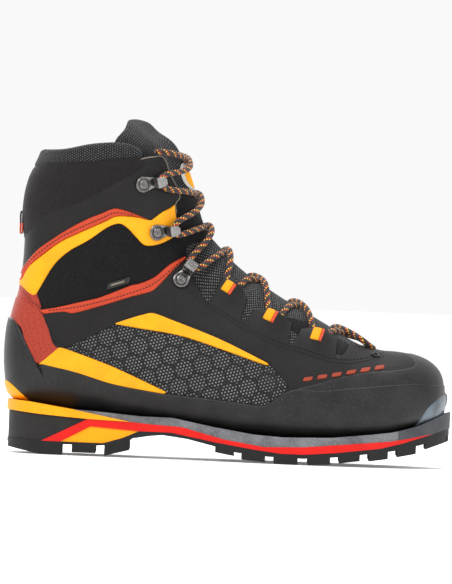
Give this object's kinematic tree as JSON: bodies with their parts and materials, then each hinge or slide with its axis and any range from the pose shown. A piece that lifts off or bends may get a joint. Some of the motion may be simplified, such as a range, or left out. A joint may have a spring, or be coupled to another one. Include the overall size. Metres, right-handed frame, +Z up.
{
  "type": "mountaineering boot",
  "caption": "Right-foot insulated mountaineering boot: stiff lugged sole with crampon welts, rubber rand, laced upper, flexing ankle cuff, padded collar and tongue.",
  "frame": {"origin": "centre of the boot's footprint box on the ground", "axes": "+X towards the toe, +Y towards the inner side of the foot, +Z up"},
  "size_m": [0.3046, 0.1098, 0.2299],
  "materials": {
    "black_rubber": "matt, fine grain",
    "tread_rubber": "matt",
    "heel_rubber": "matt",
    "red_midsole": "satin",
    "yellow_midsole": "satin",
    "grey_midsole": "rough",
    "slate_plastic": "satin",
    "dark_welt": "matt",
    "lining": "brushed knit",
    "footbed_felt": "felt",
    "board": "matt",
    "honeycomb_mesh": "woven, light dots in hexagons",
    "charcoal_leather": "finely ribbed",
    "cuff_leather": "finely ribbed, slight sheen",
    "yellow_leather": "smooth",
    "red_trim": "smooth",
    "red_mesh": "fine mesh",
    "softshell": "brushed",
    "collar_weave": "herringbone",
    "dotted_knit": "knit with pale dots",
    "tongue_mesh": "dotted mesh",
    "label": "woven",
    "gunmetal": "polished grey",
    "eyelet_paint": "satin",
    "webbing": "woven",
    "pull_webbing": "woven",
    "lace_cord": "braided, red and yellow flecks"
  },
  "bodies": {
    "foot": {"outsole": "tread_rubber", "heel_block": "heel_rubber", "midsole_red": "red_midsole", "arch_insert": "yellow_midsole", "heel_welt": "yellow_midsole", "midsole_grey": "grey_midsole", "toe_welt": "dark_welt", "insole_board": "board", "footbed": "footbed_felt", "heel_liner": "lining", "forefoot_liner": "lining", "ankle_liner": "lining", "quarter_mesh_lateral": "honeycomb_mesh", "quarter_mesh_medial": "honeycomb_mesh", "vamp": "charcoal_leather", "heel_backing": "charcoal_leather", "tongue_lower": "tongue_mesh", "tongue_middle": "softshell", "gusset_lateral": "softshell", "gusset_medial": "softshell", "achilles_strip": "softshell", "rand": "black_rubber", "toe_tab": "slate_plastic", "toe_cap": "black_rubber", "heel_counter": "black_rubber", "heel_tab": "yellow_midsole", "heel_panel": "red_mesh", "stripe_low_lateral": "yellow_leather", "stripe_high_lateral": "yellow_leather", "trim_foot_lateral": "red_trim", "stripe_low_medial": "yellow_leather", "stripe_high_medial": "yellow_leather", "trim_foot_medial": "red_trim", "eyestay": "charcoal_leather", "side_tag": "dotted_knit", "ankle_lock_lateral": "gunmetal", "ankle_lock_medial": "gunmetal", "toe_eyelet_lateral": "eyelet_paint", "toe_eyelet_medial": "eyelet_paint", "lace": "lace_cord", "lace_loop_1_lateral": "webbing", "lace_loop_1_medial": "webbing", "lace_loop_2_lateral": "webbing", "lace_loop_2_medial": "webbing", "lace_loop_3_lateral": "webbing", "lace_loop_3_medial": "webbing"},
    "shaft": {"shaft_liner": "lining", "cuff": "cuff_leather", "collar_padding": "collar_weave", "collar_band": "dotted_knit", "cuff_trim_red": "red_trim", "cuff_trim_yellow": "yellow_leather", "hook_high_lateral": "gunmetal", "hook_high_medial": "gunmetal", "hook_low_lateral": "gunmetal", "hook_low_medial": "gunmetal"},
    "tongue": {"tongue_top": "dotted_knit", "tongue_label": "label"},
    "pull_loop": {"pull_loop": "pull_webbing"}
  },
  "joints": [
    {"name": "ankle_flex", "type": "hinge", "parent": "foot", "child": "shaft", "pos_m": [-0.078, 0, 0.118], "axis": [0, 1, 0], "range_deg": [-3, 12], "stiffness_Nm_per_rad": 30, "deforming": ["ankle_liner", "gusset_lateral", "gusset_medial", "achilles_strip", "tongue_middle", "lace"]},
    {"name": "tongue_tilt", "type": "hinge", "parent": "shaft", "child": "tongue", "pos_m": [-0.04, 0, 0.17], "axis": [0, 1, 0], "range_deg": [-10, 0], "stiffness_Nm_per_rad": 2, "deforming": ["tongue_middle", "lace"]},
    {"name": "pull_loop_swing", "type": "hinge", "parent": "shaft", "child": "pull_loop", "pos_m": [-0.1472, 0, 0.1485], "axis": [0, -1, 0], "range_deg": [0, 60], "stiffness_Nm_per_rad": 0.05}
  ]
}
